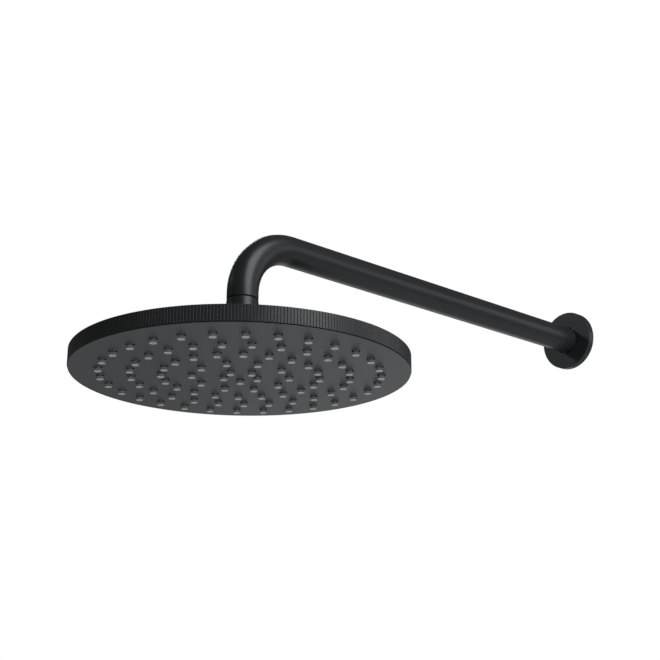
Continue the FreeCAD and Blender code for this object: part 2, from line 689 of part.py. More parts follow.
def socket_lock_nut():
    """The hexagon nut that pulls the socket down on the back shell from inside."""
    body = new_body("socket_lock_nut")
    sketch = new_sketch(body, "lock_nut_outline", "XY_Plane")
    angles = [math.radians(60 * index) for index in range(6)]
    corners = [(LOCK_NUT_CORNER * math.cos(a), LOCK_NUT_CORNER * math.sin(a)) for a in angles]
    draw_outline(sketch, corners)
    draw_circle(sketch, 0, 0, SPIGOT_RADIUS)
    bind(sketch, "AttachmentOffset.Base.z", SHELL_Z - LOCK_WASHER_THICKNESS - LOCK_NUT_THICKNESS)
    pad = body.newObject("PartDesign::Pad", "lock_nut_pad")
    pad.Profile = sketch
    bind(pad, "Length", LOCK_NUT_THICKNESS)
    place(body, HEAD_BASE)


def back_shell():
    """The cover inside the rim's top, with a skirt inside the pan wall and countersunk screw holes."""
    edge = PAN_WALL_OUTER - FIT_GAP
    bore = SPIGOT_RADIUS + FIT_GAP
    skirt_inner = SKIRT_OUTER - SKIRT_THICKNESS
    skirt_foot = CHAMBER_Z + GASKET_THICKNESS
    corners = [
        (bore, SHELL_Z),
        (skirt_inner, SHELL_Z),
        (skirt_inner, skirt_foot),
        (SKIRT_OUTER, skirt_foot),
        (SKIRT_OUTER, SHELL_Z),
        (edge, SHELL_Z),
        (edge, TOP_Z - SHELL_EDGE_BREAK),
        (edge - SHELL_EDGE_BREAK, TOP_Z),
        (bore, TOP_Z),
    ]
    body = turned_piece("back_shell", corners, HEAD_BASE)
    drill_ring(body, "shell_screw_holes", SCREW_CIRCLE, 0, SCREW_RADIUS + FIT_GAP, SCREW_COUNT)
    sink_radius = SCREW_HEAD_RADIUS + FIT_GAP / 2
    drill_ring(body, "shell_screw_sinks", SCREW_CIRCLE, 0, sink_radius, SCREW_COUNT, TOP_Z - SCREW_SINK)


def back_screws():
    """Low-headed screws from the back shell into the spray plate's posts."""
    head_low = TOP_Z - SCREW_SINK
    tip = CHAMBER_Z + THREAD_FLOOR
    shank_sizes = {"Radius": SCREW_RADIUS, "Height": head_low - tip}
    head_sizes = {"Radius": SCREW_HEAD_RADIUS, "Height": SCREW_HEAD_HEIGHT}
    drive_sizes = {"Circumradius": SCREW_DRIVE_RADIUS, "Height": SCREW_SINK}
    solids = []
    for index in range(int(plain(SCREW_COUNT))):
        angle = 2 * math.pi * index / plain(SCREW_COUNT)
        across = SCREW_CIRCLE * math.cos(angle)
        along = SCREW_CIRCLE * math.sin(angle)
        centre = (across, along + HEAD_BASE[1], HEAD_BASE[2])
        heights = (tip, head_low, head_low + SCREW_DRIVE_FLOOR)
        spots = [(*centre[:2], centre[2] + height) for height in heights]
        shank = primitive("Part::Cylinder", f"screw_shank_{index}", shank_sizes, spots[0])
        head = primitive("Part::Cylinder", f"screw_head_{index}", head_sizes, spots[1])
        drive = primitive("Part::Prism", f"screw_drive_{index}", drive_sizes, spots[2])
        joined = combine("Part::MultiFuse", f"screw_solid_{index}", [shank, head])
        solids.append(combine("Part::Cut", f"screw_{index}", [joined, drive]))
    group = DOCUMENT.addObject("Part::Compound", "screw_group")
    group.Links = solids
    piece(group, "back_screws")


def perimeter_gasket():
    """The ring between the spray plate and the back shell's skirt."""
    inner = SKIRT_OUTER - SKIRT_THICKNESS
    corners = ring_corners(inner, SKIRT_OUTER, CHAMBER_Z, CHAMBER_Z + GASKET_THICKNESS)
    turned_piece("perimeter_gasket", corners, HEAD_BASE)


def spray_plate():
    """The stiff plate behind the nozzle mat: a hole to each nozzle, and posts for the back screws."""
    post_tall = SHELL_Z - CHAMBER_Z
    corners = [
        (0, SPRAY_Z),
        (SKIRT_OUTER, SPRAY_Z),
        (SKIRT_OUTER, CHAMBER_Z),
        (0, CHAMBER_Z),
    ]
    body = turned_piece("spray_plate", corners, HEAD_BASE)
    raise_ring(body, "screw_posts", SCREW_CIRCLE, 0, POST_RADIUS, SCREW_COUNT, CHAMBER_Z, post_tall)
    hole_low = CHAMBER_Z + THREAD_FLOOR
    drill_ring(body, "screw_post_holes", SCREW_CIRCLE, 0, SCREW_RADIUS, SCREW_COUNT, hole_low)
    for name, distance, turn, count in nozzle_rings():
        drill_ring(body, f"spray_hole_{name}", distance, turn, SPRAY_HOLE_RADIUS, count)


def flow_spreader():
    """A small disc on feet that turns the incoming jet sideways."""
    low = CHAMBER_Z + SPREADER_LIFT
    corners = ring_corners(0, SPREADER_RADIUS, low, low + SPREADER_THICKNESS)
    body = turned_piece("flow_spreader", corners, HEAD_BASE)
    foot_circle, foot_turn, foot_radius, foot_count = 7, 45, 1.2, 4
    foot_tall = SPREADER_LIFT + SPREADER_THICKNESS / 2
    raise_ring(body, "spreader_feet", foot_circle, foot_turn, foot_radius, foot_count, CHAMBER_Z, foot_tall)


def nozzle_outline():
    """One nozzle's outline: a bead with a faint waist near the tip, and a narrow neck up to the mat."""
    radius = NOZZLE_RADIUS
    waist = NOZZLE_WAIST_HEIGHT
    return [
        (NOZZLE_HOLE_RADIUS, 0),
        (radius - NOZZLE_TIP_BREAK, 0),
        (radius, NOZZLE_TIP_BREAK),
        (radius, waist - NOZZLE_WAIST_SPREAD),
        (radius - NOZZLE_WAIST_DEPTH, waist),
        (radius, waist + NOZZLE_WAIST_SPREAD),
        (radius, NOZZLE_BEAD_DEPTH - NOZZLE_TOP_BREAK),
        (radius - NOZZLE_TOP_BREAK, NOZZLE_BEAD_DEPTH),
        (NOZZLE_NECK_RADIUS, NOZZLE_BEAD_DEPTH),
        (NOZZLE_NECK_RADIUS, SPRAY_Z),
        (NOZZLE_BORE_RADIUS, SPRAY_Z),
        (NOZZLE_BORE_RADIUS, NOZZLE_BORE_START),
        (NOZZLE_HOLE_RADIUS, NOZZLE_HOLE_LENGTH),
    ]


def nozzle_mat():
    """The soft mat with every nozzle moulded on it, each open from the chamber to its tip."""
    body = new_body("nozzle_mat")
    turn_outline(body, "mat", ring_corners(0, PAN_WALL_OUTER - MAT_EDGE_GAP, MAT_Z, SPRAY_Z))
    for name, distance, turn, count in nozzle_rings():
        drill_ring(body, f"mat_hole_{name}", distance, turn, NOZZLE_NECK_RADIUS - FIT_GAP, count)
        sketch = new_sketch(body, f"nozzle_{name}_outline", "XZ_Plane")
        draw_outline(sketch, nozzle_outline())
        angle = math.radians(plain(turn))
        bind(sketch, "AttachmentOffset.Base.x", distance * math.cos(angle))
        bind(sketch, "AttachmentOffset.Base.z", -distance * math.sin(angle))
        nozzle = body.newObject("PartDesign::Revolution", f"nozzle_{name}")
        nozzle.Profile = sketch
        nozzle.ReferenceAxis = (sketch, ["V_Axis"])
        nozzle.Angle = 360
        repeat_round(body, [nozzle], f"nozzle_{name}", count)
    place(body, HEAD_BASE)


def face_plate():
    """The flat face with a hole round each nozzle, a thin lip all round, and the wall that the rim grips."""
    edge = HEAD_RADIUS - TRIM_STEP
    inner = PAN_WALL_OUTER - PAN_WALL_THICKNESS
    wall_top = SHELL_Z - PAN_WALL_CLEARANCE
    corners = [
        (0, FACE_Z),
        (edge - FACE_EDGE_BREAK, FACE_Z),
        (edge, FACE_Z + FACE_EDGE_BREAK),
        (edge, FACE_Z + FACE_LIP),
        (PAN_WALL_OUTER, FACE_Z + FACE_LIP),
        (PAN_WALL_OUTER, wall_top),
        (inner, wall_top),
        (inner, MAT_Z),
        (0, MAT_Z),
    ]
    body = turned_piece("face_plate", corners, HEAD_BASE)
    for name, distance, turn, count in nozzle_rings():
        drill_ring(body, f"face_hole_{name}", distance, turn, PLATE_HOLE_RADIUS, count)


def rib_wire(crest, valley, count, top_share):
    """A closed outline of flat-topped ribs: an arc along each top, then the two sides of a narrow groove."""
    pitch = 2 * math.pi / count

    def spot(radius, ribs):
        return FreeCAD.Vector(radius * math.cos(pitch * ribs), radius * math.sin(pitch * ribs), 0)

    edges = []
    for rib in range(count):
        start, middle, end = (spot(crest, rib + top_share * side / 2) for side in (-1, 0, 1))
        floor = spot(valley, rib + 1 / 2)
        following = spot(crest, rib + 1 - top_share / 2)
        edges.append(Part.Arc(start, middle, end).toShape())
        edges.append(Part.LineSegment(end, floor).toShape())
        edges.append(Part.LineSegment(floor, following).toShape())
    return Part.Wire(edges)


def ribbed_ring():
    """The rim: a ring as tall as the head, with flat upright ribs all round that end in small bevels."""
    crest = plain(HEAD_RADIUS)
    valley = crest - plain(RIB_DEPTH)
    inner = plain(PAN_WALL_OUTER)
    low = plain(FACE_Z + FACE_LIP + SHADOW_GAP)
    high = plain(TOP_Z)
    ribs = Part.Face(rib_wire(crest, valley, int(plain(RIB_COUNT)), plain(RIB_TOP_SHARE)))
    ribs.translate(FreeCAD.Vector(0, 0, low))
    solid = ribs.extrude(FreeCAD.Vector(0, 0, high - low))
    fade = plain(RIB_FADE)
    beyond_crest = crest + plain(RUNNING_GAP)
    below_valley = valley - plain(RUNNING_GAP) * 2
    trim_corners = [
        (inner, low),
        (below_valley, low),
        (beyond_crest, low + fade),
        (beyond_crest, high - fade),
        (below_valley, high),
        (inner, high),
    ]
    points = [FreeCAD.Vector(radius, 0, height) for radius, height in trim_corners]
    trim = Part.Face(Part.makePolygon(points + points[:1]))
    trim = trim.revolve(FreeCAD.Vector(0, 0, 0), FreeCAD.Vector(0, 0, 1), 360)
    ring = piece(DOCUMENT.addObject("Part::Feature", "rim_ring"), "ribbed_ring")
    ring.Shape = solid.common(trim)
    place(ring, HEAD_BASE)


def build():
    arm_tube()
    inlet_nipple()
    outlet_nipple()
    collar_nut()
    filter_washer()
    filter_screen()
    flow_regulator()
    ball_stud()
    wall_flange()
    flange_o_ring()
    ball_seat()
    ball_seal()
    joint_cap()
    joint_socket()
    socket_gasket()
    lock_nut_washer()
    socket_lock_nut()
    back_shell()
    back_screws()
    perimeter_gasket()
    spray_plate()
    flow_spreader()
    nozzle_mat()
    face_plate()
    ribbed_ring()


def check_and_write():
    """Stops on any failed object or bad shape, then writes one file for each piece."""
    DOCUMENT.recompute()
    for thing in DOCUMENT.Objects:
        if "Invalid" in thing.State or "Error" in thing.State:
            raise SystemExit(f"{thing.Label} failed: {thing.State}")
    for thing in PIECES:
        if thing.Shape.isNull() or not thing.Shape.isValid() or not thing.Shape.Solids:
            raise SystemExit(f"{thing.Label} has no valid solid")
    os.makedirs("parts", exist_ok=True)
    for thing in PIECES:
        thing.Shape.exportStep(f"parts/{thing.Label}.step")
        print(f"{thing.Label}: {len(thing.Shape.Solids)} solid, {thing.Shape.Volume / 1000:.2f} cm3")


build()
check_and_write()
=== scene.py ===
import json
import math

import bpy
from mathutils import Matrix, Vector
from mathutils.geometry import delaunay_2d_cdt


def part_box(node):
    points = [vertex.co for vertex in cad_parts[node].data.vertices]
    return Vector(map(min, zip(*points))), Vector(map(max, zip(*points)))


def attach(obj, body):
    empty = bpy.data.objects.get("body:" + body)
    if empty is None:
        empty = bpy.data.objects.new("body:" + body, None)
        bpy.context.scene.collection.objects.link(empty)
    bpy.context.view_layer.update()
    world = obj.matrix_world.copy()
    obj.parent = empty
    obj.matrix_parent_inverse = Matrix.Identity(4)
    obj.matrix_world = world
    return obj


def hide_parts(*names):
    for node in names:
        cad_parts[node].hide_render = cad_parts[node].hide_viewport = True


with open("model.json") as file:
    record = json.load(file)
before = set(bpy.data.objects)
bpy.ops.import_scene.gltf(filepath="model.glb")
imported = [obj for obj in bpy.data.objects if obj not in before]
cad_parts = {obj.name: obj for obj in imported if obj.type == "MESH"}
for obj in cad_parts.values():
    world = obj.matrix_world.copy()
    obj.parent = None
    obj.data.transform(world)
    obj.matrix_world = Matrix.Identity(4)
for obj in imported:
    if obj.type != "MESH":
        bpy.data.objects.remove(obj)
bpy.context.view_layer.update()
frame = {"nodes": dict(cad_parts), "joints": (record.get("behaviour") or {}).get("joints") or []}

MM = 0.001
BALL = Vector(next(joint for joint in frame["joints"] if joint["name"] == "head_spin")["pos_m"])


def low(node):
    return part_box(node)[0]


def high(node):
    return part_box(node)[1]


# ---------------------------------------------------------------- sizes read from the frame

TUBE_RADIUS = high("arm_tube").x
TUBE_WALL = 1.5 * MM
TUBE_INNER = TUBE_RADIUS - TUBE_WALL
BEND_RADIUS = 45 * MM
TUBE_START_Y = high("arm_tube").y
TUBE_END_Z = low("arm_tube").z
HEAD_RADIUS = high("ribbed_ring").x
TRIM_RADIUS = high("face_plate").x
FACE_Z = low("face_plate").z
FACE_LIP = 0.35 * MM
LIP_TOP_Z = FACE_Z + FACE_LIP
TIP_Z = low("nozzle_mat").z
MAT_TOP_Z = high("nozzle_mat").z
MAT_THICKNESS = 1.2 * MM
PLATE_TOP_Z = MAT_TOP_Z - MAT_THICKNESS
PAN_TOP_Z = high("face_plate").z
PAN_OUTER = 122.6 * MM
PAN_INNER = 121.4 * MM
SHELL_TOP_Z = high("back_shell").z
SHELL_THICKNESS = 1.5 * MM
SHELL_LOW_Z = SHELL_TOP_Z - SHELL_THICKNESS
SHELL_RADIUS = PAN_OUTER - 0.2 * MM
SKIRT_LOW_Z = low("back_shell").z
SKIRT_OUTER = 120.9 * MM
SKIRT_INNER = 118.6 * MM
SCREW_CIRCLE = 112 * MM
SCREW_COUNT = 8

BALL_RADIUS = 10 * MM
NECK_RADIUS = 5 * MM
WATERWAY_RADIUS = 3.2 * MM
JOINT_THREAD_RADIUS = 12.6 * MM
CAP_MOUTH_RADIUS = 8.6 * MM
CAP_RECESS_RADIUS = 11.6 * MM
SPIGOT_RADIUS = 10 * MM
SPIGOT_BORE = 5 * MM

FIRST_RING_RADIUS = 13 * MM
RING_SPACING = 22.5 * MM
NOZZLE_RINGS = ((5, 0), (10, 18), (20, 0), (25, 10.8), (30, 0))  # nozzles in the ring, its turn
NOZZLE_RADIUS = 2.65 * MM
NOZZLE_NECK_RADIUS = 2.0 * MM
NOZZLE_HOLE_RADIUS = 0.6 * MM
NOZZLE_BORE_RADIUS = 1.4 * MM
PLATE_HOLE_RADIUS = 3.1 * MM
RIB_COUNT = 352
RIB_DEPTH = 0.4 * MM
RIB_TOP_SHARE = 0.76  # the flat top's part of the ribs' spacing
RIB_STEPS = 16  # mesh steps in each rib


# ---------------------------------------------------------------- mesh code


def arc(centre, radius, start, end, steps):
    """Points along an arc in an outline, from one angle to another in degrees."""
    angles = [math.radians(start + (end - start) * step / steps) for step in range(steps + 1)]
    return [(centre[0] + radius * math.cos(a), centre[1] + radius * math.sin(a)) for a in angles]


def rounded(corners, radius, steps=5):
    """An outline of straight lines with each corner rounded, and a held edge beside each rounding.

    A corner is (across, up) or (across, up, its own radius). A corner that hardly bends stays as it is.
    """
    least_bend = 0.02  # radians
    side_share = 0.45  # the most of a side that one rounding may take
    widest_hold = 0.15 * MM
    outline = []
    for index, corner in enumerate(corners):
        here = Vector(corner[:2])
        before = Vector(corners[index - 1][:2]) - here
        after = Vector(corners[(index + 1) % len(corners)][:2]) - here
        bend = math.pi - before.angle(after)
        wanted = corner[2] if len(corner) > 2 else radius
        room = side_share * min(before.length, after.length)
        if bend < least_bend or wanted <= 0:
            outline.append(here)
            continue
        cut = min(wanted * math.tan(bend / 2), room)
        real = cut / math.tan(bend / 2)
        start = here + before.normalized() * cut
        end = here + after.normalized() * cut
        middle = here + (before.normalized() + after.normalized()).normalized() * (real / math.cos(bend / 2))
        hold = min(widest_hold, room / 2)
        outline.append(start + before.normalized() * hold)
        first = (start - middle).angle_signed(end - middle)
        for step in range(steps + 1):
            turn = -first * step / steps
            outline.append(middle + Matrix.Rotation(turn, 2) @ (start - middle))
        outline.append(end + after.normalized() * hold)
    return [tuple(point) for point in outline]


class Builder:
    """Collects rings of points and the faces between them, and makes one piece from them."""

    def __init__(self):
        self.points = []
        self.faces = []
        self.flat = []
        self.slots = []

    def ring(self, spots):
        first = len(self.points)
        self.points.extend(spots)
        return list(range(first, len(self.points)))

    def round_ring(self, centre, radius, height, count):
        across, along = centre
        angles = [2 * math.pi * step / count for step in range(count)]
        return self.ring(
            [(across + radius * math.cos(a), along + radius * math.sin(a), height) for a in angles]
        )

    def bridge(self, one, other, slot=0):
        """Joins two rings of equal count with a band of smooth faces."""
        count = len(one)
        for step in range(count):
            after = (step + 1) % count
            self.faces.append((one[step], one[after], other[after], other[step]))
            self.flat.append(False)
            self.slots.append(slot)

    def sheet(self, outer, holes, up, slot=0):
        """Fills the flat area inside the outer ring and outside the holes' rings."""
        rings = [outer] + holes
        index = [number for ring in rings for number in ring]
        spots = [Vector(self.points[number][:2]) for number in index]
        edges = []
        owner = []
        for place, ring in enumerate(rings):
            first = len(owner)
            edges += [(first + step, first + (step + 1) % len(ring)) for step in range(len(ring))]
            owner += [place] * len(ring)
        all_triangles, closeness = 0, 1e-9
        result = delaunay_2d_cdt(spots, edges, [], all_triangles, closeness)
        triangles, source = result[2:4]
        for triangle in triangles:
            places = {owner[source[corner][0]] for corner in triangle}
            if len(places) == 1 and places != {0}:
                continue
            corners = [index[source[corner][0]] for corner in triangle]
            self.faces.append(tuple(corners if up else reversed(corners)))
            self.flat.append(True)
            self.slots.append(slot)

    def piece(self, name, materials, body, node, place=Matrix.Identity(4)):
        """Makes the object, in place, riding on its body and standing for its CAD node."""
        mesh = bpy.data.meshes.new(name)
        mesh.from_pydata(self.points, [], self.faces)
        mesh.polygons.foreach_set("use_smooth", [not flat for flat in self.flat])
        mesh.polygons.foreach_set("material_index", self.slots)
        mesh.transform(place)
        mesh.update()
        mesh.validate()
        thing = bpy.data.objects.new(name, mesh)
        bpy.context.scene.collection.objects.link(thing)
        for material in materials:
            mesh.materials.append(material)
        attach(thing, body)
        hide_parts(node)
        return thing


def lathe(outline, segments=192, shape=None):
    """A closed outline of (radius, height) turned about Z.

    shape(angle, radius, height) may move each point.
    """
    build = Builder()
    rings = []
    for radius, height in outline:
        spots = []
        for step in range(segments):
            angle = 2 * math.pi * step / segments
            spot = (radius * math.cos(angle), radius * math.sin(angle), height)
            spots.append(shape(angle, radius, height) if shape else spot)
        rings.append(build.ring(spots))
    for index, ring in enumerate(rings):
        build.bridge(ring, rings[(index + 1) % len(rings)])
    return build


def perforated(edge, holes, hole_outline, hole_segments, segments=512, slot_of=None):
    """A round slab with a set of equal holes.

    edge is the rim's outline of (radius, height) from the underside to the top, and hole_outline the same
    for each hole. slot_of(index) gives the material slot of each band of a hole.
    """
    build = Builder()
    rim = [build.round_ring((0, 0), radius, height, segments) for radius, height in edge]
    for one, other in zip(rim, rim[1:]):
        build.bridge(one, other)
    under, over = [], []
    for centre in holes:
        rings = [build.round_ring(centre, radius, height, hole_segments) for radius, height in hole_outline]
        for index, (one, other) in enumerate(zip(rings, rings[1:])):
            build.bridge(other, one, slot_of(index) if slot_of else 0)
        under.append(rings[0])
        over.append(rings[-1])
    build.sheet(rim[0], under, up=False)
    build.sheet(rim[-1], over, up=True)
    return build


def nozzle_centres():
    for index, (count, turn) in enumerate(NOZZLE_RINGS):
        radius = FIRST_RING_RADIUS + RING_SPACING * index
        for step in range(count):
            angle = math.radians(turn + 360 * step / count)
            yield radius * math.cos(angle), radius * math.sin(angle)


# ---------------------------------------------------------------- finishes

NOISE_SPAN = (0.3, 0.7)  # the part of a noise's range that holds nearly all of its values


def principled(material):
    return material.node_tree.nodes["Principled BSDF"]


def new_finish(name, colour, roughness, metallic=0.0, specular=0.5):
    """A principled material with its uniform values on its own sockets."""
    material = bpy.data.materials.new(name)
    material.use_nodes = True
    sockets = principled(material).inputs
    sockets["Base Color"].default_value = (*colour, 1)
    sockets["Roughness"].default_value = roughness
    sockets["Metallic"].default_value = metallic
    sockets["Specular IOR Level"].default_value = specular
    return material


def add_node(material, kind, **values):
    """Adds a node and sets its inputs by name."""
    node = material.node_tree.nodes.new(kind)
    for name, value in values.items():
        node.inputs[name.replace("_", " ")].default_value = value
    return node


def link(material, source, output, target, socket):
    material.node_tree.links.new(source.outputs[output], target.inputs[socket])


def object_space(material, stretch=(1, 1, 1)):
    """Coordinates that stay with the piece as it moves, optionally stretched."""
    place = add_node(material, "ShaderNodeTexCoord")
    mapping = add_node(material, "ShaderNodeMapping", Scale=stretch)
    link(material, place, "Object", mapping, "Vector")
    return mapping


def noise(material, space, scale, detail=3.0, roughness=0.55):
    node = add_node(material, "ShaderNodeTexNoise", Scale=scale, Detail=detail, Roughness=roughness)
    link(material, space, "Vector", node, "Vector")
    return node


def vary_colour(material, source, output, darker, lighter):
    """Runs the base colour between two colours by a texture."""
    ramp = add_node(material, "ShaderNodeValToRGB")
    for element, position, colour in zip(ramp.color_ramp.elements, NOISE_SPAN, (darker, lighter)):
        element.position = position
        element.color = (*colour, 1)
    link(material, source, output, ramp, "Fac")
    link(material, ramp, "Color", principled(material), "Base Color")


def vary_roughness(material, source, output, smoother, rougher):
    """Runs the roughness between two values by a texture."""
    ends = {"From_Min": NOISE_SPAN[0], "From_Max": NOISE_SPAN[1], "To_Min": smoother, "To_Max": rougher}
    spread = add_node(material, "ShaderNodeMapRange", **ends)
    link(material, source, output, spread, "Value")
    link(material, spread, "Result", principled(material), "Roughness")


def add_bump(material, source, output, strength, depth):
    bump = add_node(material, "ShaderNodeBump", Strength=strength, Distance=depth)
    link(material, source, output, bump, "Height")
    link(material, bump, "Normal", principled(material), "Normal")


def tint(colour, factor):
    return tuple(part * factor for part in colour)


def coating(name, colour, roughness):
    """Matt black powder coat: fine grain, a faint orange peel, and slow drifts of tone and gloss."""
    material = new_finish(name, colour, roughness)
    space = object_space(material)
    drift = noise(material, space, scale=14.0)
    grain = noise(material, space, scale=2600.0, detail=2.0)
    vary_colour(material, drift, "Fac", tint(colour, 0.93), tint(colour, 1.07))
    vary_roughness(material, drift, "Fac", roughness - 0.02, roughness + 0.02)
    add_bump(material, grain, "Fac", strength=0.12, depth=0.02 * MM)
    return material


def silicone(name, colour, roughness):
    """Soft moulded silicone: slightly waxy, with a fine skin."""
    material = new_finish(name, colour, roughness, specular=0.4)
    space = object_space(material)
    mottle = noise(material, space, scale=420.0)
    skin = noise(material, space, scale=3200.0, detail=2.0)
    vary_colour(material, mottle, "Fac", tint(colour, 0.92), tint(colour, 1.08))
    add_bump(material, skin, "Fac", strength=0.2, depth=0.02 * MM)
    return material


def machined(name, colour, roughness, along):
    """Turned metal: fine tool rings across one axis and a little tarnish."""
    material = new_finish(name, colour, roughness, metallic=1.0)
    fine, coarse = 2600.0, 40.0
    stretch = tuple(fine if axis == along else coarse for axis in "XYZ")
    rings = noise(material, object_space(material, stretch), scale=1.0, detail=2.0)
    tarnish = noise(material, object_space(material), scale=90.0)
    vary_colour(material, tarnish, "Fac", tint(colour, 0.86), colour)
    vary_roughness(material, tarnish, "Fac", roughness - 0.05, roughness + 0.1)
    add_bump(material, rings, "Fac", strength=0.25, depth=0.02 * MM)
    return material


def moulded(name, colour, roughness):
    """Moulded plastic or rubber with a fine spark-eroded grain."""
    material = new_finish(name, colour, roughness)
    space = object_space(material)
    cloud = noise(material, space, scale=60.0)
    grain = noise(material, space, scale=1500.0, detail=2.0)
    vary_colour(material, cloud, "Fac", tint(colour, 0.9), tint(colour, 1.1))
    vary_roughness(material, cloud, "Fac", roughness - 0.05, roughness + 0.05)
    add_bump(material, grain, "Fac", strength=0.3, depth=0.03 * MM)
    return material


COAT_COLOUR = (0.020, 0.021, 0.022)
BRASS_COLOUR = (0.72, 0.55, 0.28)
ARM_COAT = coating("coated_metal", COAT_COLOUR, 0.34)
RIM_COAT = coating("coated_rim", COAT_COLOUR, 0.34)
# Painted light: the face has the arm's matt black coat, given a lighter grey that stands for the light its
# underside catches from below.
FACE_COAT_PAINTED_LIGHT = coating("coated_face", (0.072, 0.074, 0.075), 0.5)
NOZZLE_BODY = silicone("nozzle_silicone", (0.30, 0.304, 0.308), 0.5)
# Painted light: the tips are the nozzles' own silicone made paler, for the light that falls on their
# down-facing ends.
NOZZLE_TIP_PAINTED_LIGHT = silicone("nozzle_tip_painted_light", (0.62, 0.625, 0.63), 0.45)
BRASS_Y = machined("brass_turned_along_arm", BRASS_COLOUR, 0.28, "Y")
BRASS_Z = machined("brass_turned_upright", BRASS_COLOUR, 0.28, "Z")
STEEL = machined("stainless_steel", (0.62, 0.62, 0.63), 0.3, "Z")
RUBBER = moulded("sealing_rubber", (0.02, 0.02, 0.02), 0.7)
ACETAL = moulded("white_acetal", (0.82, 0.82, 0.80), 0.4)
PLASTIC = moulded("black_moulded_plastic", (0.035, 0.035, 0.036), 0.5)

CAD_FINISHES = {
    "outlet_nipple": ARM_COAT,
    "filter_washer": RUBBER,
    "filter_screen": STEEL,
    "flow_regulator": ACETAL,
    "flange_o_ring": RUBBER,
    "ball_seat": ACETAL,
    "ball_seal": RUBBER,
    "socket_gasket": RUBBER,
    "lock_nut_washer": STEEL,
    "socket_lock_nut": BRASS_Z,
    "back_screws": STEEL,
    "perimeter_gasket": RUBBER,
    "spray_plate": PLASTIC,
    "flow_spreader": PLASTIC,
}


def finish_cad_nodes():
    """Gives each CAD node that stays in the scene its procedural finish."""
    for node, material in CAD_FINISHES.items():
        mesh = frame["nodes"][node].data
        mesh.materials.clear()
        mesh.materials.append(material)


# ---------------------------------------------------------------- arm and flange

OUT_OF_WALL = Matrix.Rotation(math.radians(90), 4, "X")  # an outline's height runs from the wall along -Y


def on_head_axis(height):
    return Matrix.Translation((BALL.x, BALL.y, height))


def tube_stations():
    """Each station along the arm's centre line: its place and the direction of travel."""
    corner_y = BALL.y + BEND_RADIUS
    hold = 0.2 * MM
    lip_room = 0.6 * MM
    bend_steps = 64
    stations = []
    for y in (TUBE_START_Y, TUBE_START_Y - hold, (TUBE_START_Y + corner_y) / 2, corner_y + hold):
        stations.append((Vector((0, y, 0)), Vector((0, -1, 0))))
    for step in range(bend_steps + 1):
        angle = math.radians(90) * step / bend_steps
        along, down = math.sin(angle), math.cos(angle)
        place = Vector((0, corner_y - BEND_RADIUS * along, -BEND_RADIUS * (1 - down)))
        stations.append((place, Vector((0, -down, -along))))
    for z in (-BEND_RADIUS - hold, TUBE_END_Z + lip_room):
        stations.append((Vector((0, BALL.y, z)), Vector((0, 0, -1))))
    return stations


def make_arm_tube():
    """The bent tube as one closed wall, with a small rounded lip at its lower end."""
    build = Builder()
    segments = 128
    lip_radius = 0.35 * MM
    sideways = Vector((1, 0, 0))
    down = Vector((0, 0, -1))

    def ring(place, travel, radius):
        upward = travel.cross(sideways)
        angles = [2 * math.pi * step / segments for step in range(segments)]
        return build.ring([place + (sideways * math.cos(a) + upward * math.sin(a)) * radius for a in angles])

    outer = [ring(place, travel, TUBE_RADIUS) for place, travel in tube_stations()]
    inner = [ring(place, travel, TUBE_INNER) for place, travel in reversed(tube_stations())]
    lip_outline = arc((TUBE_RADIUS - lip_radius, TUBE_END_Z + lip_radius), lip_radius, 0, -90, 5)
    lip_outline.append((TUBE_INNER, TUBE_END_Z))
    lip = [ring(Vector((0, BALL.y, up)), down, across) for across, up in lip_outline]
    rings = outer + lip + inner
    for index, one in enumerate(rings):
        build.bridge(rings[(index + 1) % len(rings)], one)
    return build.piece("arm_tube_wall", [ARM_COAT], "arm", "arm_tube")


def make_wall_flange():
    """The hollow flange: flat face, softly broken edge, and the boss that holds the O-ring."""
    radius = high("wall_flange").x
    depth = -low("wall_flange").y
    hole = TUBE_RADIUS + 0.4 * MM
    skin = 1.6 * MM
    boss = hole + 3.8 * MM
    boss_foot = 0.8 * MM
    groove = hole + 1.8 * MM
    groove_low, groove_high = 1.9 * MM, 4.1 * MM
    front_edge, hole_edge, back_edge = 0.6 * MM, 0.25 * MM, 0.2 * MM
    corners = [
        (hole, depth, hole_edge),
        (radius, depth, front_edge),
        (radius, 0, back_edge),
        (radius - skin, 0, back_edge),
        (radius - skin, depth - skin),
        (boss, depth - skin),
        (boss, boss_foot),
        (hole, boss_foot),
        (hole, groove_low),
        (groove, groove_low),
        (groove, groove_high),
        (hole, groove_high),
    ]
    build = lathe(rounded(corners, 0.12 * MM), segments=256)
    return build.piece("wall_flange_cover", [ARM_COAT], "flange", "wall_flange", OUT_OF_WALL)


